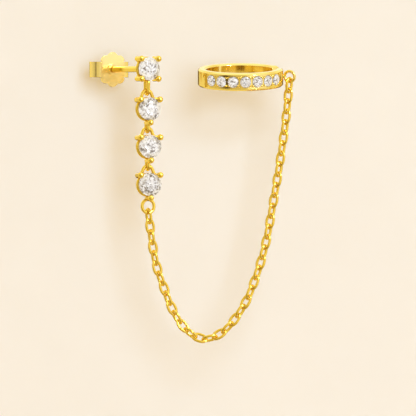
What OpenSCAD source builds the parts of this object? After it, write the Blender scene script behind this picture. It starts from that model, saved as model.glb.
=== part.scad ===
// Ear chain earring: a stone stud for the lobe, three hanging stone drops, a fine cable chain
// and an open ear cuff. Millimetres, +Z up. The origin is on the post's axis, where the lobe sits.
// Each setting is drawn lying on its back: its stone looks along +Z and +Y is up the ear.

/* [Stones] */
// Diameter of the stud's and the drops' stones
stone_d = 3; // [2.6:0.1:3.4]
// Diameter of the cuff's small stones
cuff_stone_d = 1.4; // [1.1:0.05:1.5]
// Clearance between a stone and its seat
seat_gap = 0.03; // [0.02:0.01:0.05]

/* [Stone settings] */
// Radius of the ball on each prong's tip
ball_r = 0.4; // [0.36:0.01:0.45]
// Radius of a prong
prong_r = 0.34; // [0.28:0.01:0.36]
// Length of the stud's prongs behind their balls' centres
stud_prong_len = 1.3; // [1.1:0.05:1.5]
// Length of a drop's prongs behind their balls' centres
drop_prong_len = 1.7; // [1.5:0.05:1.9]
// How far a girdle sinks into each prong
girdle_bite = 0.09; // [0.06:0.01:0.14]
// Distance from the balls' centres back to the girdle
girdle_back = 0.25; // [0.15:0.05:0.35]
// Thickness of the rail's round wire
rail_wire = 0.4; // [0.28:0.02:0.42]
// How far the middle of the rail's wire lies inside the stone's edge
rail_in = 0.14; // [0.1:0.02:0.2]
// Distance from the stud's balls' centres back to its rail
stud_rail_back = 0.96; // [0.84:0.02:1]
// Distance from a drop's balls' centres back to its rail
drop_rail_back = 1.44; // [1.3:0.02:1.5]
// Angle between a drop's upper prongs and the vertical
upper_prong_angle = 47; // [44:1:56]

/* [Bails and rings] */
// Thickness of a bail's wire
bail_wire = 0.44; // [0.34:0.02:0.46]
// Height of the middle of a bail's highest wire over the rail's
bail_rise = 1.06; // [1.02:0.02:1.2]
// Radius of a bail's arch, to the middle of its wire
bail_r = 0.62; // [0.58:0.01:0.66]
// Angle by which a bail's legs spread from the upright
bail_splay = 21; // [18:1:22]
// Thickness of the wire of the rings that carry the bails
ring_wire = 0.44; // [0.34:0.02:0.46]
// Half the width of those rings, to the middle of their wire
ring_half = 0.5; // [0.48:0.01:0.56]
// Height of the stud's ring, to the middle of its wire
stud_ring_h = 1.88; // [1.6:0.02:2]
// Height of the ring under a drop, to the middle of its wire
drop_ring_h = 1.54; // [1.48:0.02:1.6]
// Clearance between a bail and the ring that carries it
bail_gap = 0.05; // [0.04:0.01:0.08]
// Thickness of the end ring's wire
end_ring_wire = 0.42; // [0.36:0.02:0.46]
// Radius of the end ring, to the middle of its wire
end_ring_r = 0.86; // [0.8:0.02:1]

/* [Ear post and nut] */
// Distance from the lobe's middle forward to the stud's ball centres
face_out = 5.6; // [5:0.1:6.5]
// Thickness of the post
post_d = 0.8; // [0.7:0.05:0.9]
// Length of the post, from its base to its tip
post_len = 10; // [9.5:0.1:11]
// Distance from the balls' centres back to the post's base
base_back = 2; // [1.9:0.05:2.3]
// Radius of the base that the struts meet on
base_r = 0.55; // [0.5:0.05:0.7]
// Thickness of the base
base_t = 0.4; // [0.3:0.05:0.5]
// Radius of a strut
strut_r = 0.26; // [0.2:0.02:0.3]
// Distance from the lobe's middle back to the nut's plate
nut_at = 5.5; // [4.6:0.1:5.8]
// Clearance between the post and the nut's hole and ears
nut_gap = 0.06; // [0.04:0.01:0.09]
// Height of the nut's scalloped plate
plate_h = 4.5; // [4:0.1:5]
// Width of the nut's scalloped plate
plate_w = 4.1; // [3.6:0.05:4.3]
// Thickness of the plate
plate_t = 0.3; // [0.24:0.02:0.4]
// Radius of the collar round the nut's hole
collar_r = 0.75; // [0.65:0.05:0.9]
// Height of the collar over the plate
collar_h = 0.25; // [0.15:0.05:0.4]
// Outer radius of a rolled ear
ear_r = 1.35; // [1.15:0.05:1.45]
// Width of the strip that the ears are rolled from
ear_w = 2; // [1.7:0.1:2.2]
// Thickness of that strip
ear_t = 0.24; // [0.2:0.02:0.3]

/* [Chain] */
// Length of a link over its wire
link_len = 2.18; // [2.1:0.02:2.3]
// Width of a link over its wire
link_w = 1.4; // [1.3:0.02:1.6]
// Thickness of a link's wire
link_wire = 0.36; // [0.28:0.02:0.38]
// Clearance between a link and the next
link_gap = 0.1; // [0.1:0.01:0.14]
// How far the chain hangs below the end ring
chain_drop = 16.4; // [14:0.2:19]

/* [Ear cuff] */
// Distance from the post across to the cuff's middle
cuff_across = 14; // [12.5:0.5:16]
// Height of the cuff's middle below the post
cuff_below = 1.05; // [-1:0.05:2]
// Outer diameter of the cuff
cuff_d = 10.9; // [10.2:0.1:12]
// Thickness of the cuff's wall
cuff_wall = 1; // [0.95:0.05:1.3]
// Height of the band
cuff_h = 2.25; // [2.1:0.05:2.4]
// Chamfer of the band's edges
edge = 0.2; // [0.1:0.02:0.26]
// Width of the gap between the band's ends
cuff_gap = 1.6; // [1.2:0.1:2.2]
// Radius of the rounded corners of the band's ends
end_round = 0.5; // [0.3:0.05:1]
// Width of each rim beside the recessed stone channel
rim_w = 0.28; // [0.2:0.02:0.3]
// Depth of the stone channel
channel_depth = 0.18; // [0.12:0.02:0.24]
// Distance from one cuff stone's middle to the next, round the channel's floor
stone_step = 1.6; // [1.55:0.05:1.8]
// Radius of the small grains that hold the cuff's stones
grain_r = 0.15; // [0.13:0.01:0.18]
// Radius of the cuff's ring, to the middle of its wire
cuff_ring_r = 0.68; // [0.66:0.02:0.8]
// Thickness of the wire of the cuff's ring
cuff_ring_wire = 0.38; // [0.32:0.02:0.42]
// Height of the cuff's ring over the middle of the band
cuff_ring_up = 0.1; // [0:0.05:0.4]
// Turn of the cuff's ring to the viewer's left, in degrees
cuff_ring_turn = 24; // [20:1:32]

/* [Pose] */
// Turn of the stud and its post to the viewer's right, in degrees
stud_turn = 26; // [18:1:34]
// Turn of the drops, in degrees
drop_turn = 18; // [12:1:26]
// Turn of the last drop, in degrees
last_drop_turn = 15; // [10:1:26]
// Upward lean of the drops' faces, in degrees
drop_lean = 2; // [0:1:4]
// Twist of the chain from its first link to its last, in degrees
chain_twist = -6; // [-12:1:0]
// Turn of the cuff round its own axis, in degrees
cuff_turn = 7; // [0:1:12]
// Lean of the cuff towards the viewer, in degrees
cuff_lean = 8; // [0:1:12]
// Sideways lean of the cuff, in degrees
cuff_side_lean = 0; // [0:1:4]

/* [Hidden] */
$fn = 48;
gold = [0.9, 0.68, 0.25];
crystal = [0.92, 0.9, 0.88];

// The brilliant cut, as shares of a stone's diameter: table, crown, girdle, pavilion,
// and how far out the crown's and the pavilion's facet corners lie.
table_share = 0.57;
crown_share = 0.155;
girdle_share = 0.03;
pavilion_share = 0.43;
star_share = 0.8;
main_share = 0.25;
facets = 8;
half_facet = 180 / facets;

// The settings, in their own lying frame.
prong_circle = stone_d / 2 + prong_r - girdle_bite;
rail_r = stone_d / 2 - rail_in;
stud_prong_angle = 47;
stud_prongs = [for (side = [0, 180], up = [-1, 1]) side + up * stud_prong_angle];
drop_prongs = [90 - upper_prong_angle, 90 + upper_prong_angle, 270];
bail_top = rail_r + bail_rise;
end_ring_low = prong_circle + prong_r + end_ring_r - end_ring_wire / 2;
end_ring_turn = 14;

// The drops hang one below the other, each bail resting in the ring above it.
drop_count = 3;
turns = [stud_turn, drop_turn, drop_turn, last_drop_turn];
leans = [0, -drop_lean, -drop_lean, -drop_lean];
ring_hs = [stud_ring_h, drop_ring_h, drop_ring_h, 0];
rail_backs = [stud_rail_back, drop_rail_back, drop_rail_back, drop_rail_back];

function about_x(v, a) = [v.x, v.y * cos(a) - v.z * sin(a), v.y * sin(a) + v.z * cos(a)];
function about_y(v, a) = [v.x * cos(a) + v.z * sin(a), v.y, v.z * cos(a) - v.x * sin(a)];
function about_z(v, a) = [v.x * cos(a) - v.y * sin(a), v.x * sin(a) + v.y * cos(a), v.z];

// A point of setting k's lying frame, turned into the earring's frame.
function turned(k, v) = about_z(about_x(v, 90 + leans[k]), turns[k]);
// The spot in setting k's ring, and in its bail, that the two share while it hangs.
function ring_seat(k) =
    turned(k, [0, ring_wire / 2 + bail_gap + bail_wire / 2 - rail_r - ring_hs[k], -rail_backs[k]]);
function bail_seat(k) = turned(k, [0, bail_top, -rail_backs[k]]);
function setting_at(k) =
    k == 0 ? about_z([0, -face_out, 0], stud_turn)
           : setting_at(k - 1) + ring_seat(k - 1) - bail_seat(k);

// The chain runs from the end ring to the cuff's ring, in one upright plane.
end_ring_at = setting_at(drop_count) + turned(drop_count, [0, -end_ring_low, -drop_rail_back]);
chain_start = end_ring_at + [0, 0, -end_ring_r + end_ring_wire / 2 + link_gap / 2];
cuff_r = cuff_d / 2;
cuff_ring_arm_x = cuff_r + cuff_ring_wire / 2;
cuff_ring_middle = [cuff_ring_arm_x, 0, cuff_ring_up] + about_z([cuff_ring_r, 0, 0], -cuff_ring_turn);
cuff_ring_arm = about_x(about_y(cuff_ring_middle, cuff_side_lean), cuff_lean);
cuff_at = [cuff_across, end_ring_at.y - cuff_ring_arm.y, -cuff_below];
chain_end = cuff_at + cuff_ring_arm
    + [0, 0, -cuff_ring_r + cuff_ring_wire / 2 + link_gap / 2];

// The chain's route, chosen by eye: [share of the way across, share of the way down].
route_down = [[0, 0], [0.012, 0.1], [0.031, 0.26], [0.06, 0.43], [0.11, 0.59], [0.165, 0.75],
              [0.24, 0.889], [0.327, 0.976], [0.416, 1]];
// The same for its other side: [share of the way across, share of the way up].
route_up = [[0.508, 0.02], [0.588, 0.06], [0.688, 0.14], [0.748, 0.218], [0.797, 0.297],
            [0.838, 0.384], [0.866, 0.469], [0.917, 0.63], [0.962, 0.796], [0.984, 0.9], [1, 1]];
chain_low = chain_start.z - chain_drop;
span = chain_end.x - chain_start.x;
route = concat(
    [for (p = route_down) [chain_start.x + p[0] * span, chain_start.z - p[1] * chain_drop]],
    [for (p = route_up) [chain_start.x + p[0] * span, chain_low + p[1] * (chain_end.z - chain_low)]]);
route_steps = 8;
last_point = len(route) - 1;

function slope_at(i) =
    let(a = route[max(i - 1, 0)], b = route[i], c = route[min(i + 1, last_point)])
    (c - a) / (norm(c - b) + norm(b - a));
function between(i, t) =
    let(a = route[i], b = route[i + 1], h = norm(b - a))
    a * (2 * t * t * t - 3 * t * t + 1) + b * (3 * t * t - 2 * t * t * t)
        + slope_at(i) * h * (t * t * t - 2 * t * t + t) + slope_at(i + 1) * h * (t * t * t - t * t);
curve = concat([for (i = [0:last_point - 1], k = [0:route_steps - 1]) between(i, k / route_steps)],
               [route[last_point]]);
lengths = [for (i = 0, s = 0; i < len(curve);
                s = i + 1 < len(curve) ? s + norm(curve[i + 1] - curve[i]) : s, i = i + 1) s];
chain_len = lengths[len(lengths) - 1];
function along(s, i = 0) =
    i >= len(curve) - 2 || lengths[i + 1] >= s
        ? curve[i] + (curve[i + 1] - curve[i]) * (s - lengths[i]) / (lengths[i + 1] - lengths[i])
        : along(s, i + 1);

// As many links as the route needs, never further apart than the clearance allows.
link_pitch = link_len - 2 * link_wire - link_gap;
link_count = ceil(chain_len / link_pitch);
first_roll = -30;
link_sides = 6;
end_steps = 6;
link_rings = 2 * end_steps + 2;

// The cuff, in its own frame with its axis upright and the middle stone looking along -Y.
cuff_stones = 7;
cuff_inner_r = cuff_r - cuff_wall;
floor_r = cuff_r - channel_depth;
cuff_girdle_r = floor_r + seat_gap;
stone_angle = stone_step / floor_r * 180 / PI;
channel_spare = 0.3;
channel_half_angle = (cuff_stones + channel_spare) / 2 * stone_angle;
wall_r = (cuff_r + cuff_inner_r) / 2;
end_angle = (cuff_gap / 2 + end_round) / wall_r * 180 / PI;
ring_to_end = 6;
gap_angle = ring_to_end + cuff_gap / 2 / wall_r * 180 / PI;
grain_up_share = 0.36;
grain_apart_share = 0.13;
grain_up = grain_up_share * cuff_stone_d;
grain_apart = grain_apart_share * cuff_stone_d;
middle_stone = (cuff_stones - 1) / 2;

// The nut: how its ears roll in, and the scalloped edge of its plate.
ear_turn = 430;
turn_to_post = 270;
ear_close = 0.45;
ear_steps = 36;
ear_lap = 0.1;
ear_slot = 0.08;
lobes = 8;
lobe_steps = 12;
scallop_depth = 0.13;

// Round brilliant with its girdle's middle at the origin and its table looking along +Z.
function facet_ring(n, r, z, a0) =
    [for (i = [0:n - 1]) let(a = a0 + i * 360 / n) [r * cos(a), r * sin(a), z]];

module brilliant(d) {
    r = d / 2;
    girdle = girdle_share * d / 2;
    crown = crown_share * d;
    pavilion = pavilion_share * d;
    star_z = girdle + crown * (1 - star_share * cos(half_facet)) / (1 - table_share);
    main_z = -girdle - pavilion * (1 - main_share * cos(half_facet));
    n = facets;
    star = n;
    upper = 2 * n;
    lower = 4 * n;
    main = 6 * n;
    culet = 7 * n;
    points = concat(
        facet_ring(n, table_share * r, girdle + crown, 0),
        facet_ring(n, star_share * r, star_z, half_facet),
        facet_ring(2 * n, r, girdle, 0),
        facet_ring(2 * n, r, -girdle, 0),
        facet_ring(n, main_share * r, main_z, half_facet),
        [[0, 0, -girdle - pavilion]]);
    crown_faces = [for (i = [0:n - 1]) let(j = (i + 1) % n, g = upper + 2 * i, h = upper + 2 * j)
        each [[i, star + i, j], [j, star + i, h], [j, h, star + j],
              [star + i, g, g + 1], [star + i, g + 1, h]]];
    girdle_faces = [for (i = [0:2 * n - 1]) let(j = (i + 1) % (2 * n))
        each [[upper + i, lower + i, lower + j], [upper + i, lower + j, upper + j]]];
    pavilion_faces = [for (i = [0:n - 1]) let(j = (i + 1) % n, g = lower + 2 * i, h = lower + 2 * j)
        each [[main + i, g + 1, g], [main + i, h, g + 1],
              [culet, h, main + i], [culet, main + j, h]]];
    faces = concat([[for (i = [0:n - 1]) i]], crown_faces, girdle_faces, pavilion_faces);
    polyhedron(points, [for (f = faces) [for (i = [len(f) - 1:-1:0]) f[i]]]);
}

// The room that a brilliant takes, with its clearance all round.
module stone_room(d) {
    r = d / 2;
    girdle = girdle_share * d / 2 + seat_gap;
    rotate_extrude() polygon([
        [0, girdle + crown_share * d],
        [table_share * r + seat_gap, girdle + crown_share * d],
        [r + seat_gap, girdle],
        [r + seat_gap, -girdle],
        [0, -girdle - pavilion_share * d - seat_gap]]);
}

module ring(r, wire) {
    rotate_extrude() translate([r, 0]) circle(d = wire);
}

// Balled prongs round a stone, joined by the rail behind its girdle.
module prongs_and_rail(angles, prong_len, rail_back) {
    for (a = angles) rotate(a) translate([prong_circle, 0, 0]) {
        sphere(r = ball_r);
        translate([0, 0, -prong_len]) cylinder(r = prong_r, h = prong_len);
        translate([0, 0, -prong_len]) sphere(r = prong_r);
    }
    translate([0, 0, -rail_back]) ring(rail_r, rail_wire);
}

// An arch of round wire over the origin, from one angle to its mirror image.
module arch(r, wire, from = 0) {
    rotate(from) rotate_extrude(angle = 180 - 2 * from) translate([r, 0]) circle(d = wire);
}

// The long ring of setting k, in the upright plane through its axis, soldered under the rail.
module hanging_ring(k) {
    straight = ring_hs[k] - 2 * ring_half;
    translate([0, -rail_r - ring_half, -rail_backs[k]]) rotate([0, 90, 0]) {
        arch(ring_half, ring_wire);
        translate([0, -straight, 0]) rotate(180) arch(ring_half, ring_wire);
        for (side = [-1, 1]) translate([side * ring_half, 0, 0]) rotate([90, 0, 0])
            cylinder(d = ring_wire, h = straight);
    }
}

// The arch over a drop that hangs in the ring above it. Its spread legs run down to the rail.
module bail() {
    middle_y = bail_top - bail_r;
    leg = middle_y * cos(bail_splay);
    translate([0, middle_y, -drop_rail_back]) {
        arch(bail_r, bail_wire, bail_splay);
        for (side = [-1, 1])
            translate([side * bail_r * cos(bail_splay), bail_r * sin(bail_splay), 0])
                rotate([90, 0, side * bail_splay]) cylinder(d = bail_wire, h = leg);
    }
}

module stud_struts() {
    run = prong_circle - base_r / 2;
    fall = base_back - stud_prong_len;
    for (a = stud_prongs) rotate(a) translate([prong_circle, 0, -stud_prong_len])
        rotate([0, atan2(-run, -fall), 0]) cylinder(r = strut_r, h = norm([run, fall]));
    translate([0, 0, -base_back - base_t / 2]) cylinder(r = base_r, h = base_t);
}

module post() {
    translate([0, 0, -base_back - post_len]) cylinder(d = post_d, h = post_len);
    translate([0, 0, -base_back - post_len]) sphere(d = post_d);
}

// Puts what is drawn in setting k's lying frame where that setting hangs.
module in_setting(k) {
    translate(setting_at(k)) rotate([90 + leans[k], 0, turns[k]]) children();
}

module stud_setting() {
    color(gold) in_setting(0) {
        difference() {
            union() {
                prongs_and_rail(stud_prongs, stud_prong_len, stud_rail_back);
                stud_struts();
                hanging_ring(0);
            }
            translate([0, 0, -girdle_back]) stone_room(stone_d);
        }
        post();
    }
}

module drop_setting(k) {
    color(gold) in_setting(k) {
        difference() {
            union() {
                prongs_and_rail(drop_prongs, drop_prong_len, drop_rail_back);
                if (k < drop_count) hanging_ring(k);
            }
            translate([0, 0, -girdle_back]) stone_room(stone_d);
        }
        bail();
        if (k == drop_count) translate([0, -end_ring_low, -drop_rail_back])
            rotate([0, end_ring_turn, 0]) ring(end_ring_r, end_ring_wire);
    }
}

module big_stone(k) {
    color(crystal) in_setting(k) translate([0, 0, -girdle_back]) brilliant(stone_d);
}

// The spiral of an ear in plan: t runs from the plate to the strip's end.
function ear_radius(t) = ear_r * (1 - ear_close * t);
ear_across = post_d / 2 + nut_gap + ear_radius(turn_to_post / ear_turn);
ear_back = plate_t / 2 - ear_r;
function ear_point(t, inset) =
    let(a = 90 - ear_turn * t, r = ear_radius(t) - inset)
    [ear_across + r * cos(a), ear_back + r * sin(a)];

module nut_ear() {
    outline = concat([for (i = [0:ear_steps]) ear_point(i / ear_steps, 0)],
                     [for (i = [ear_steps:-1:0]) ear_point(i / ear_steps, ear_t)]);
    rotate([90, 0, 0]) translate([0, 0, -ear_w / 2]) linear_extrude(ear_w) polygon(outline);
}

function scallop(a) = 1 - scallop_depth * (1 - abs(cos(lobes / 2 * a)));

// The scalloped plate, cut back where the ears leave it, and the collar round its hole.
module nut_plate() {
    steps = lobes * lobe_steps;
    translate([0, 0, -plate_t / 2]) linear_extrude(plate_t) difference() {
        polygon([for (i = [0:steps - 1]) let(a = i * 360 / steps)
            scallop(a) * [plate_w / 2 * cos(a), plate_h / 2 * sin(a)]]);
        for (side = [-1, 1]) translate([side * (ear_across + ear_lap + plate_w / 2), 0])
            square([plate_w, ear_w + 2 * ear_slot], center = true);
    }
    cylinder(r = collar_r, h = plate_t / 2 + collar_h);
}

module ear_nut() {
    color(gold) in_setting(0) translate([0, 0, -face_out - nut_at]) difference() {
        union() {
            nut_plate();
            nut_ear();
            mirror([1, 0, 0]) nut_ear();
        }
        translate([0, 0, -plate_t]) cylinder(d = post_d + 2 * nut_gap, h = 2 * plate_t + collar_h);
    }
}

// One oval link lying in the XY plane, its length along X.
function link_middle(i) =
    let(r = (link_w - link_wire) / 2, half = (link_len - link_w) / 2,
        side = i <= end_steps ? 1 : -1,
        a = i <= end_steps ? -90 + i * 180 / end_steps : 90 + (i - end_steps - 1) * 180 / end_steps)
    [side * half + r * cos(a), r * sin(a), a];

module chain_link() {
    points = [for (i = [0:link_rings - 1]) let(m = link_middle(i))
        for (k = [0:link_sides - 1]) let(b = k * 360 / link_sides, out = link_wire / 2 * cos(b))
            [m.x + out * cos(m.z), m.y + out * sin(m.z), link_wire / 2 * sin(b)]];
    faces = [for (i = [0:link_rings - 1], k = [0:link_sides - 1])
        let(a = i * link_sides, b = (i + 1) % link_rings * link_sides, l = (k + 1) % link_sides)
        each [[a + k, a + l, b + l], [a + k, b + l, b + k]]];
    polyhedron(points, faces);
}

module chain() {
    step = chain_len / link_count;
    twist = chain_twist / (link_count - 1);
    color(gold) for (i = [0:link_count - 1]) {
        a = along(i * step);
        b = along((i + 1) * step);
        middle = (a + b) / 2;
        translate([middle.x, chain_start.y, middle.y])
            rotate([0, -atan2(b.y - a.y, b.x - a.x), 0])
                rotate([first_roll + i % 2 * 90 + i * twist, 0, 0]) chain_link();
    }
}

// The band's outline across its wall, with every edge chamfered.
module band_outline() {
    h = cuff_h / 2;
    polygon([[cuff_inner_r, -h + edge], [cuff_inner_r + edge, -h], [cuff_r - edge, -h],
             [cuff_r, -h + edge], [cuff_r, h - edge], [cuff_r - edge, h],
             [cuff_inner_r + edge, h], [cuff_inner_r, h - edge]]);
}

// The open band, its ends with rounded corners behind the ring, and the stone channel in front.
module band() {
    difference() {
        rotate(gap_angle - cuff_turn) union() {
            rotate(end_angle) rotate_extrude(angle = 360 - 2 * end_angle) band_outline();
            for (side = [-1, 1]) intersection() {
                rotate_extrude() band_outline();
                rotate(side * end_angle) hull() for (up = [-1, 1])
                    translate([0, 0, up * (cuff_h / 2 - end_round)]) rotate([0, 90, 0])
                        cylinder(r = end_round, h = cuff_d);
            }
        }
        rotate(-90 - channel_half_angle) rotate_extrude(angle = 2 * channel_half_angle)
            translate([floor_r, -cuff_h / 2 + rim_w]) square([cuff_wall, cuff_h - 2 * rim_w]);
    }
}

module cuff_grains() {
    for (i = [0:cuff_stones]) let(a = -90 + (i - cuff_stones / 2) * stone_angle)
        for (side = [-1, 1], up = [-1, 1])
            if ((i > 0 || side > 0) && (i < cuff_stones || side < 0))
                rotate(a) translate([floor_r, side * grain_apart, up * grain_up]) sphere(r = grain_r);
}

module at_cuff_stone(i) {
    rotate(-90 + (i - middle_stone) * stone_angle) translate([cuff_girdle_r, 0, 0])
        rotate([0, 90, 0]) children();
}

module in_cuff() {
    translate(cuff_at) rotate([cuff_lean, 0, 0]) rotate([0, cuff_side_lean, 0]) children();
}

// The upright ring at the band's end and the short arm that it is soldered to.
module cuff_ring() {
    translate(cuff_ring_middle) rotate([90, 0, -cuff_ring_turn]) ring(cuff_ring_r, cuff_ring_wire);
    translate([cuff_r - edge, 0, cuff_ring_up]) rotate([0, 90, 0])
        cylinder(d = cuff_ring_wire, h = cuff_ring_arm_x - cuff_r + edge);
}

module cuff_band() {
    color(gold) in_cuff() {
        rotate(cuff_turn) difference() {
            union() {
                band();
                cuff_grains();
            }
            for (i = [0:cuff_stones - 1]) at_cuff_stone(i) stone_room(cuff_stone_d);
        }
        cuff_ring();
    }
}

module cuff_stone(i) {
    color(crystal) in_cuff() rotate(cuff_turn) at_cuff_stone(i - 1) brilliant(cuff_stone_d);
}

stud_setting();
big_stone(0);  // stud_stone
ear_nut();
drop_setting(1);  // drop_setting_1
drop_setting(2);  // drop_setting_2
drop_setting(3);  // drop_setting_3
big_stone(1);  // drop_stone_1
big_stone(2);  // drop_stone_2
big_stone(3);  // drop_stone_3
chain();
cuff_band();
cuff_stone(1);  // cuff_stone_1
cuff_stone(2);  // cuff_stone_2
cuff_stone(3);  // cuff_stone_3
cuff_stone(4);  // cuff_stone_4
cuff_stone(5);  // cuff_stone_5
cuff_stone(6);  // cuff_stone_6
cuff_stone(7);  // cuff_stone_7
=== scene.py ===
import math

import bmesh
import bpy
import numpy as np
from mathutils import Matrix, Vector


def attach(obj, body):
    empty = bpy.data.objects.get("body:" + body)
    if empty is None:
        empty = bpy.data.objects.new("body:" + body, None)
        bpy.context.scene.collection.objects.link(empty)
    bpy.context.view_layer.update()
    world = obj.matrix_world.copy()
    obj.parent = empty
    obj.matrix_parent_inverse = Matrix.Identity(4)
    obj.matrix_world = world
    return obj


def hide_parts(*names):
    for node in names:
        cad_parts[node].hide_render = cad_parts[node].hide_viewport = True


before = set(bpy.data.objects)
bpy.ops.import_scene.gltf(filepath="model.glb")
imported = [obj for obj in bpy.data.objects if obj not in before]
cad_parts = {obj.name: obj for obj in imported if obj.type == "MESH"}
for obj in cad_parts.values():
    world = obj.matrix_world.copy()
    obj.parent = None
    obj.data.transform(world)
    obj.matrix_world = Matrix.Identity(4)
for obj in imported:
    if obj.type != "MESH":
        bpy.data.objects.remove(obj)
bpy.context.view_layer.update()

MM = 0.001

# The photograph's frame, set on the plane of the stud's prong balls.
PHOTO_SIZE = 416
PIXELS_PER_MM = 7.83
PICTURE_MIDDLE = Vector((9.845, -5.036, -17.79)) * MM
LENS = 1200
SENSOR = 36
CLIP_START_SHARE = 0.01
CLIP_END_SHARE = 20

# The backdrop: a wall behind the earring, a cove, and the floor below.
WALL_Y = 11.5 * MM
FLOOR_Z = -56.0 * MM
STAGE_HALF_WIDTH = 0.6
STAGE_FRONT = -0.9
COVE_R = 8.0 * MM
COVE_STEPS = 12
PAPER_GRAIN = 0.12
PAPER_TONES = [(0.35, (0.955, 0.895, 0.815)), (0.65, (0.965, 0.905, 0.825))]
PAPER_ROUGHNESS = 0.9

# The room. Its fill lights what is matt, and its background shows past the paper. Gloss
# mirrors the rest: a bright front that dims downwards, pale sides, a dark patch straight
# behind, a glow above that, and a bright ceiling. A softbox is on the right, and a dark flag
# on the lower left.
ROOM_FILL = (0.73, 0.545, 0.25)
ROOM_BACKGROUND = (0.98, 0.87, 0.73)
ROOM_FRONT = (0.8, 0.71, 0.46)
ROOM_LOW = (0.62, 0.5, 0.25)
ROOM_SIDES = (0.98, 0.87, 0.52)
ROOM_BACK = (0.16, 0.09, 0.02)
ROOM_GLOW = (1.2, 1.2, 1.1)
ROOM_TOP = (1.25, 1.25, 1.2)
ROOM_DARK = (0.06, 0.04, 0.02)
ROOM_SOFTBOX = (1.15, 1.12, 1.2)
FRONT = Vector((0, -1, 0))
BACK = Vector((0, 1, 0))
UP = Vector((0, 0, 1))
FLAG_SIDE = Vector((-0.72, 0, -0.69))
FLAG_LENGTH = Vector((-0.69, 0, 0.72))
SOFTBOX_SIDE = Vector((0.76, -0.62, 0.06))

# Where each part of the room shows: stops of (cosine of the angle to a side, strength).
FRONT_SHOWS = [(-0.2, 0), (0.25, 1)]
HIGH_FRONT_SHOWS = [(-0.7, 0), (-0.1, 1)]
BACK_SHOWS = [(0.84, 0), (0.94, 1)]
GLOW_SHOWS = [(0.15, 0), (0.2, 1), (0.5, 1), (0.8, 0)]
TOP_SHOWS = [(0.7, 0), (0.85, 1)]
SOFTBOX_SHOWS = [(0.74, 0), (0.86, 1)]
FLAG_SHOWS_ACROSS = [(0.12, 0), (0.2, 1), (0.66, 1), (0.76, 0)]
FLAG_SHOWS_ALONG = [(-0.6, 0), (-0.4, 1), (0.4, 1), (0.6, 0)]
FLAG_SHOWS_FORWARD = [(0.1, 0), (0.2, 1), (0.77, 1), (0.9, 0)]

# The lamps: the key lights what is matt, and the sparkle shows in gloss alone.
LAMP_DISTANCE = 0.6
KEY_FROM = (0.17, -1.0, 0.16)
KEY_SIZE = (0.16, 0.28)
KEY_POWER = 2.06
KEY_COLOUR = (0.445, 0.675, 1.0)
SPARKLE_FROM = (0.55, -0.65, 0.55)
SPARKLE_SIZE = (0.14, 0.14)
SPARKLE_POWER = 2.0

# The plating. A noise scale counts in waves to the millimetre, as for the paper's grain.
GOLD_GRAZING = (1.0, 0.94, 0.78)
TONE_SCALE = 0.5
TONE_EDGES = (0.3, 0.7)
TONE_DIMMEST = 0.96
WEAR_SCALE = 3.0
WEAR_DETAIL = 4.0
WEAR_MOST = 2
EDGE_SOFTNESS = 0.07 * MM
EDGE_SAMPLES = 4
RIPPLE_SCALE = 1.1
RIPPLE_STRENGTH = 0.25
RIPPLE_HEIGHT = 0.02 * MM

# Each finish of the plating: its least roughness, and its tint.
POLISHED_GOLD = (0.07, (0.93, 0.67, 0.12))
# The nut's satin gold is the same plating with a paler tint: painted light, so that its plate
# reads brighter.
SATIN_GOLD_LIT = (0.15, (1.0, 0.8, 0.31))
PALE_GOLD = (0.08, (0.94, 0.73, 0.22))
# The chain's drawn gold is the same plating with a darker tint: painted shade, as its thin
# wires catch less light.
DRAWN_GOLD_SHADED = (0.08, (0.9, 0.64, 0.11))

# The stones. Scales and steps count in a stone's own radius, and tones go by the mean of a
# facet's and a splinter's random values.
# These tones are painted reflection: dark to white flashes in the base colour stand in for the
# light that a cut stone throws back.
CRYSTAL_PAINTED_REFLECTION_TONES = [(0.18, (0.2, 0.17, 0.15)), (0.29, (0.5, 0.47, 0.45)),
                 (0.48, (0.74, 0.72, 0.73)), (0.66, (0.98, 0.98, 1.0))]
CRYSTAL_ROUGHNESS = 0.05
CRYSTAL_IOR = 1.8
FACETS_AROUND = 1.6
FACETS_OUTWARD = 2.6
FACET_SCALE = 1.6
FACET_STEP = (2.3, 0, 1.7)
LARGE_STONE_R = 1.2 * MM
SPLINTERS_IF_LARGE = 7.5
SPLINTERS_IF_SMALL = 4.5
SPLINTER_STEP = (0, 3.1, 0)
FACET_LEAN = 0.6
HALF = (0.5, 0.5, 0.5)

# The chain's links: ovals of round wire round the six-sided wire of the CAD links.
LINK_STEPS = 40
WIRE_SIDES = 12
CAD_WIRE_SIDES = 6
LINK_SQUARENESS = 2.15
WELD = 0.004 * MM


def feed(tree, node, values):
    """Links each value to the node's next input, or sets a fixed one there."""
    for socket, value in zip(node.inputs, values):
        if isinstance(value, bpy.types.NodeSocket):
            tree.links.new(value, socket)
        else:
            socket.default_value = value


def vector_math(tree, operation, *values):
    """The result of a vector maths node over links or fixed vectors."""
    node = tree.nodes.new("ShaderNodeVectorMath")
    node.operation = operation
    feed(tree, node, values)
    return node.outputs["Value" if operation in ("LENGTH", "DOT_PRODUCT") else "Vector"]


def scalar_math(tree, operation, *values):
    """The result of a maths node over links or fixed numbers."""
    node = tree.nodes.new("ShaderNodeMath")
    node.operation = operation
    feed(tree, node, values)
    return node.outputs["Value"]


def noise(tree, scale, detail=2.0):
    """A noise texture whose scale counts in waves to the millimetre."""
    place = tree.nodes.new("ShaderNodeTexCoord")
    texture = tree.nodes.new("ShaderNodeTexNoise")
    texture.inputs["Scale"].default_value = scale / MM
    texture.inputs["Detail"].default_value = detail
    tree.links.new(place.outputs["Object"], texture.inputs["Vector"])
    return texture.outputs["Fac"]


def ramp(tree, source, stops):
    """The colour of a ramp over source, from (position, colour) stops."""
    node = tree.nodes.new("ShaderNodeValToRGB")
    elements = node.color_ramp.elements
    while len(elements) > len(stops):
        elements.remove(elements[-1])
    while len(elements) < len(stops):
        elements.new(1.0)
    for element, (position, colour) in zip(elements, stops):
        element.position = position
        element.color = (*colour, 1.0)
    tree.links.new(source, node.inputs["Fac"])
    return node.outputs["Color"]


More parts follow.
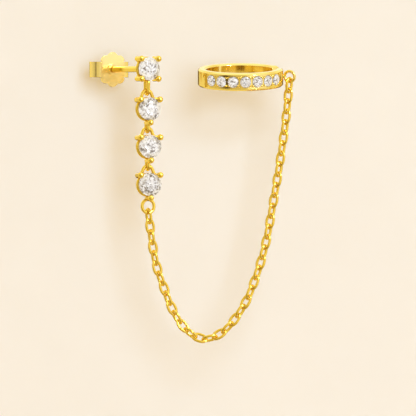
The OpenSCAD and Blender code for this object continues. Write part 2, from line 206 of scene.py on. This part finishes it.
def cells(tree, place, scale):
    """Flat cells of random colours over place."""
    texture = tree.nodes.new("ShaderNodeTexVoronoi")
    texture.inputs["Scale"].default_value = scale
    tree.links.new(place, texture.inputs["Vector"])
    return texture.outputs["Color"]


def node_material(name):
    """A new node material, its node tree and its Principled shader."""
    material = bpy.data.materials.new(name)
    material.use_nodes = True
    tree = material.node_tree
    shader = next(n for n in tree.nodes if n.type == "BSDF_PRINCIPLED")
    return material, tree, shader


def plated_gold(name, gloss, tint):
    """Bright plated gold: soft cast ripples, faint wear in its gloss, softened edges."""
    material, tree, shader = node_material(name)
    shader.inputs["Metallic"].default_value = 1.0
    shader.inputs["Specular Tint"].default_value = (*GOLD_GRAZING, 1)
    dimmest = tuple(TONE_DIMMEST * share for share in tint)
    tone = ramp(tree, noise(tree, TONE_SCALE), list(zip(TONE_EDGES, (dimmest, tint))))
    tree.links.new(tone, shader.inputs["Base Color"])
    wear = tree.nodes.new("ShaderNodeMapRange")
    wear.inputs["To Min"].default_value = gloss
    wear.inputs["To Max"].default_value = WEAR_MOST * gloss
    tree.links.new(noise(tree, WEAR_SCALE, WEAR_DETAIL), wear.inputs["Value"])
    tree.links.new(wear.outputs["Result"], shader.inputs["Roughness"])
    edges = tree.nodes.new("ShaderNodeBevel")
    edges.samples = EDGE_SAMPLES
    edges.inputs["Radius"].default_value = EDGE_SOFTNESS
    ripples = tree.nodes.new("ShaderNodeBump")
    ripples.inputs["Strength"].default_value = RIPPLE_STRENGTH
    ripples.inputs["Distance"].default_value = RIPPLE_HEIGHT
    tree.links.new(noise(tree, RIPPLE_SCALE), ripples.inputs["Height"])
    tree.links.new(edges.outputs["Normal"], ripples.inputs["Normal"])
    tree.links.new(ripples.outputs["Normal"], shader.inputs["Normal"])
    return material


def stone_place(points):
    """A round stone's middle, the turn that lays its table level, and its radius."""
    middle, axes, size = own_axes(points)
    along = (points - middle) @ axes[2]
    if along.max() > -along.min():
        axes[1:] = -axes[1:]
    return middle, axes, (size[0] + size[1]) / 4


def cut_crystal(name, points, pick):
    """White brilliant with painted reflections in its base colour: radial facets and fine
    splinters of dark to white flashes, laid anew for each pick.
    """
    material, tree, shader = node_material(name)
    middle, axes, radius = stone_place(points)
    turn = Matrix(axes.tolist())
    place = tree.nodes.new("ShaderNodeTexCoord")
    lay = tree.nodes.new("ShaderNodeMapping")
    lay.inputs["Location"].default_value = -(turn @ Vector(middle)) / radius
    lay.inputs["Rotation"].default_value = turn.to_euler()
    lay.inputs["Scale"].default_value = (1 / radius,) * 3
    tree.links.new(place.outputs["Object"], lay.inputs["Vector"])
    level_place = lay.outputs["Vector"]

    flat = vector_math(tree, "MULTIPLY", level_place, (1, 1, 0))
    spoke = vector_math(tree, "NORMALIZE", flat)
    around = vector_math(tree, "MULTIPLY", spoke, (FACETS_AROUND, FACETS_AROUND, 0))
    outward = tree.nodes.new("ShaderNodeCombineXYZ")
    reach = vector_math(tree, "LENGTH", flat)
    tree.links.new(scalar_math(tree, "MULTIPLY", reach, FACETS_OUTWARD), outward.inputs["Z"])
    fan = vector_math(tree, "ADD", around, outward.outputs["Vector"])
    own_fan = vector_math(tree, "ADD", fan, [pick * step for step in FACET_STEP])
    own_lay = vector_math(tree, "ADD", level_place, [pick * step for step in SPLINTER_STEP])
    is_large = radius > LARGE_STONE_R
    facets = cells(tree, own_fan, FACET_SCALE)
    splinters = cells(tree, own_lay, SPLINTERS_IF_LARGE if is_large else SPLINTERS_IF_SMALL)
    both = vector_math(tree, "ADD", facets, splinters)
    mean = vector_math(tree, "MULTIPLY", both, HALF)

    value = tree.nodes.new("ShaderNodeSeparateXYZ")
    tree.links.new(mean, value.inputs["Vector"])
    # Painted reflections: the ramp turns the cells into dark to white flashes in the stone's
    # base colour.
    flashes = ramp(tree, value.outputs["X"], CRYSTAL_PAINTED_REFLECTION_TONES)
    tree.links.new(flashes, shader.inputs["Base Color"])
    shader.inputs["Roughness"].default_value = CRYSTAL_ROUGHNESS
    shader.inputs["IOR"].default_value = CRYSTAL_IOR
    lean = vector_math(tree, "SUBTRACT", mean, HALF)
    leaned = vector_math(tree, "MULTIPLY", lean, (FACET_LEAN,) * 3)
    surface = tree.nodes.new("ShaderNodeNewGeometry")
    normal = vector_math(tree, "ADD", surface.outputs["Normal"], leaned)
    tree.links.new(vector_math(tree, "NORMALIZE", normal), shader.inputs["Normal"])
    return material


def backdrop_material():
    """Cream paper that shows from its front alone, so that views from behind see past it."""
    material, tree, shader = node_material("cream_paper")
    grain = ramp(tree, noise(tree, PAPER_GRAIN), PAPER_TONES)
    tree.links.new(grain, shader.inputs["Base Color"])
    shader.inputs["Roughness"].default_value = PAPER_ROUGHNESS
    shader.inputs["Specular IOR Level"].default_value = 0.0
    side = tree.nodes.new("ShaderNodeNewGeometry")
    clear = tree.nodes.new("ShaderNodeBsdfTransparent")
    mix = tree.nodes.new("ShaderNodeMixShader")
    end = next(n for n in tree.nodes if n.type == "OUTPUT_MATERIAL")
    feed(tree, mix, (side.outputs["Backfacing"], shader.outputs["BSDF"], clear.outputs["BSDF"]))
    tree.links.new(mix.outputs["Shader"], end.inputs["Surface"])
    return material


def add_mesh(name, points, faces, material):
    """A new smooth mesh object in the row frame."""
    mesh = bpy.data.meshes.new(name)
    mesh.from_pydata([tuple(p) for p in points], [], faces)
    mesh.materials.append(material)
    mesh.polygons.foreach_set("use_smooth", [True] * len(mesh.polygons))
    mesh.update()
    piece = bpy.data.objects.new(name, mesh)
    bpy.context.scene.collection.objects.link(piece)
    return piece


def make_camera():
    """The photograph's level view along +Y, through a long lens."""
    camera = bpy.data.objects.new("camera", bpy.data.cameras.new("camera"))
    camera.data.lens = LENS
    camera.data.sensor_width = SENSOR
    frame_width = PHOTO_SIZE / PIXELS_PER_MM * MM
    distance = frame_width * LENS / SENSOR
    camera.location = PICTURE_MIDDLE - Vector((0, distance, 0))
    camera.rotation_euler = (math.pi / 2, 0, 0)
    camera.data.clip_start = distance * CLIP_START_SHARE
    camera.data.clip_end = distance * CLIP_END_SHARE
    bpy.context.scene.collection.objects.link(camera)
    bpy.context.scene.camera = camera
    bpy.context.scene.view_settings.view_transform = "Standard"


def make_backdrop():
    """A wall close behind the earring that curves into the floor below it."""
    outline = [(WALL_Y, STAGE_HALF_WIDTH)]
    for i in range(COVE_STEPS + 1):
        angle = math.pi / 2 * i / COVE_STEPS
        outline.append((WALL_Y - COVE_R + COVE_R * math.cos(angle),
                        FLOOR_Z + COVE_R - COVE_R * math.sin(angle)))
    outline.append((STAGE_FRONT, FLOOR_Z))
    points = [(x, y, z) for x in (-STAGE_HALF_WIDTH, STAGE_HALF_WIDTH) for y, z in outline]
    n = len(outline)
    faces = [(i, i + 1, n + i + 1, n + i) for i in range(n - 1)]
    backdrop = add_mesh("backdrop", points, faces, backdrop_material())
    backdrop.visible_glossy = False


def add_softbox(name, direction, size, power, colour=(1, 1, 1)):
    """A rectangular studio light that looks at the earring from direction."""
    light = bpy.data.lights.new(name, "AREA")
    light.shape = "RECTANGLE"
    light.size, light.size_y = size
    light.energy = power
    light.color = colour
    lamp = bpy.data.objects.new(name, light)
    away = Vector(direction).normalized()
    lamp.location = PICTURE_MIDDLE + away * LAMP_DISTANCE
    lamp.rotation_mode = "QUATERNION"
    lamp.rotation_quaternion = away.to_track_quat("Z", "Y")
    lamp.visible_camera = False
    bpy.context.scene.collection.objects.link(lamp)
    return lamp


def light_studio():
    """A room that the metal mirrors, a frontal key for the shadows, and a sparkle light."""
    world = bpy.data.worlds.new("studio")
    world.use_nodes = True
    tree = world.node_tree
    background = next(n for n in tree.nodes if n.type == "BACKGROUND")
    bpy.context.scene.world = world
    look = tree.nodes.new("ShaderNodeTexCoord").outputs["Generated"]

    def towards(side, stops):
        """How strongly a thing on a side shows in each direction, from its stops."""
        share = vector_math(tree, "DOT_PRODUCT", look, side.normalized())
        lifted = scalar_math(tree, "MULTIPLY_ADD", share, 0.5, 0.5)
        return ramp(tree, lifted, [(0.5 + at / 2, (v, v, v)) for at, v in stops])

    def blend(factor, a, b):
        """Colour a where factor is 0, and b where it is 1."""
        mix = tree.nodes.new("ShaderNodeMix")
        mix.data_type = "RGBA"
        for value, socket in ((factor, "Factor"), (a, "A"), (b, "B")):
            if isinstance(value, bpy.types.NodeSocket):
                tree.links.new(value, mix.inputs[socket])
            else:
                mix.inputs[socket].default_value = (*value, 1)
        return mix.outputs["Result"]

    flag = scalar_math(tree, "MULTIPLY",
                       towards(FLAG_SIDE, FLAG_SHOWS_ACROSS),
                       towards(FLAG_LENGTH, FLAG_SHOWS_ALONG))
    flag = scalar_math(tree, "MULTIPLY", flag, towards(FRONT, FLAG_SHOWS_FORWARD))
    back = blend(towards(BACK, BACK_SHOWS), ROOM_SIDES, ROOM_BACK)
    back = blend(towards(UP, GLOW_SHOWS), back, ROOM_GLOW)
    front = blend(towards(UP, HIGH_FRONT_SHOWS), ROOM_LOW, ROOM_FRONT)
    mirrored = blend(towards(FRONT, FRONT_SHOWS), back, front)
    mirrored = blend(towards(UP, TOP_SHOWS), mirrored, ROOM_TOP)
    mirrored = blend(towards(SOFTBOX_SIDE, SOFTBOX_SHOWS), mirrored, ROOM_SOFTBOX)
    mirrored = blend(flag, mirrored, ROOM_DARK)
    path = tree.nodes.new("ShaderNodeLightPath")
    lit = blend(path.outputs["Is Diffuse Ray"], mirrored, ROOM_FILL)
    seen = blend(path.outputs["Is Camera Ray"], lit, ROOM_BACKGROUND)
    tree.links.new(seen, background.inputs["Color"])
    key = add_softbox("key", KEY_FROM, KEY_SIZE, KEY_POWER, KEY_COLOUR)
    key.visible_glossy = False
    sparkle = add_softbox("sparkle", SPARKLE_FROM, SPARKLE_SIZE, SPARKLE_POWER)
    sparkle.visible_diffuse = False


def node_mesh(node):
    """A CAD node's mesh in the row frame, with split vertices joined."""
    mesh = bmesh.new()
    mesh.from_mesh(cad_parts[node].data)
    bmesh.ops.remove_doubles(mesh, verts=mesh.verts, dist=WELD)
    return mesh


def loose_parts(mesh):
    """The vertices of each separate solid of a bmesh, as arrays."""
    seen = set()
    parts = []
    for start in mesh.verts:
        if start in seen:
            continue
        seen.add(start)
        waiting, part = [start], []
        while waiting:
            vert = waiting.pop()
            part.append(vert.co[:])
            for edge in vert.link_edges:
                other = edge.other_vert(vert)
                if other not in seen:
                    seen.add(other)
                    waiting.append(other)
        parts.append(np.array(part))
    return parts


def own_axes(points):
    """A solid's middle, its axes from longest to shortest, and its size along each."""
    middle = points.mean(axis=0)
    _, _, axes = np.linalg.svd(points - middle, full_matrices=False)
    axes[2] = np.cross(axes[0], axes[1])
    along = (points - middle) @ axes.T
    return middle, axes, along.max(axis=0) - along.min(axis=0)


def link_surface(middle, axes, size):
    """Points and faces of one round-wired oval link that fills a CAD link's room."""
    length, width, thickness = size
    wire = thickness / math.cos(math.pi / CAD_WIRE_SIDES) / 2
    points, faces = [], []
    for i in range(LINK_STEPS):
        turn = 2 * math.pi * i / LINK_STEPS
        c, s = math.cos(turn), math.sin(turn)
        x = (length / 2 - wire) * math.copysign(abs(c) ** (2 / LINK_SQUARENESS), c)
        y = (width / 2 - wire) * math.copysign(abs(s) ** (2 / LINK_SQUARENESS), s)
        ring, next_ring = i * WIRE_SIDES, ((i + 1) % LINK_STEPS) * WIRE_SIDES
        for k in range(WIRE_SIDES):
            round_wire = 2 * math.pi * k / WIRE_SIDES
            reach = wire * math.cos(round_wire)
            local = np.array([x + reach * c, y + reach * s, wire * math.sin(round_wire)])
            points.append(middle + local @ axes)
            next_k = (k + 1) % WIRE_SIDES
            faces.append((ring + k, next_ring + k, next_ring + next_k, ring + next_k))
    return points, faces


def make_chain(material):
    """The chain's links in round wire, each where its CAD link is."""
    mesh = node_mesh("chain")
    points, faces = [], []
    for part in loose_parts(mesh):
        link_points, link_faces = link_surface(*own_axes(part))
        base = len(points)
        points += link_points
        faces += [tuple(base + v for v in face) for face in link_faces]
    mesh.free()
    chain = add_mesh("cable_chain", points, faces, material)
    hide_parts("chain")
    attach(chain, "earring")


def paint_nodes(gold, own_finishes):
    """Every CAD node that stays gets its finish, each stone its own lay of facets."""
    for pick, (name, piece) in enumerate(sorted(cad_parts.items())):
        finish = own_finishes.get(name, gold)
        if "stone" in name:
            mesh = node_mesh(name)
            corners = np.array([vert.co[:] for vert in mesh.verts])
            finish = cut_crystal(f"{name}_crystal", corners, pick)
            mesh.free()
        piece.data.materials.clear()
        piece.data.materials.append(finish)


make_camera()
make_backdrop()
light_studio()
paint_nodes(plated_gold("polished_gold", *POLISHED_GOLD),
            {"ear_nut": plated_gold("satin_gold_lit", *SATIN_GOLD_LIT),
             "cuff_band": plated_gold("pale_gold", *PALE_GOLD)})
make_chain(plated_gold("drawn_gold_shaded", *DRAWN_GOLD_SHADED))
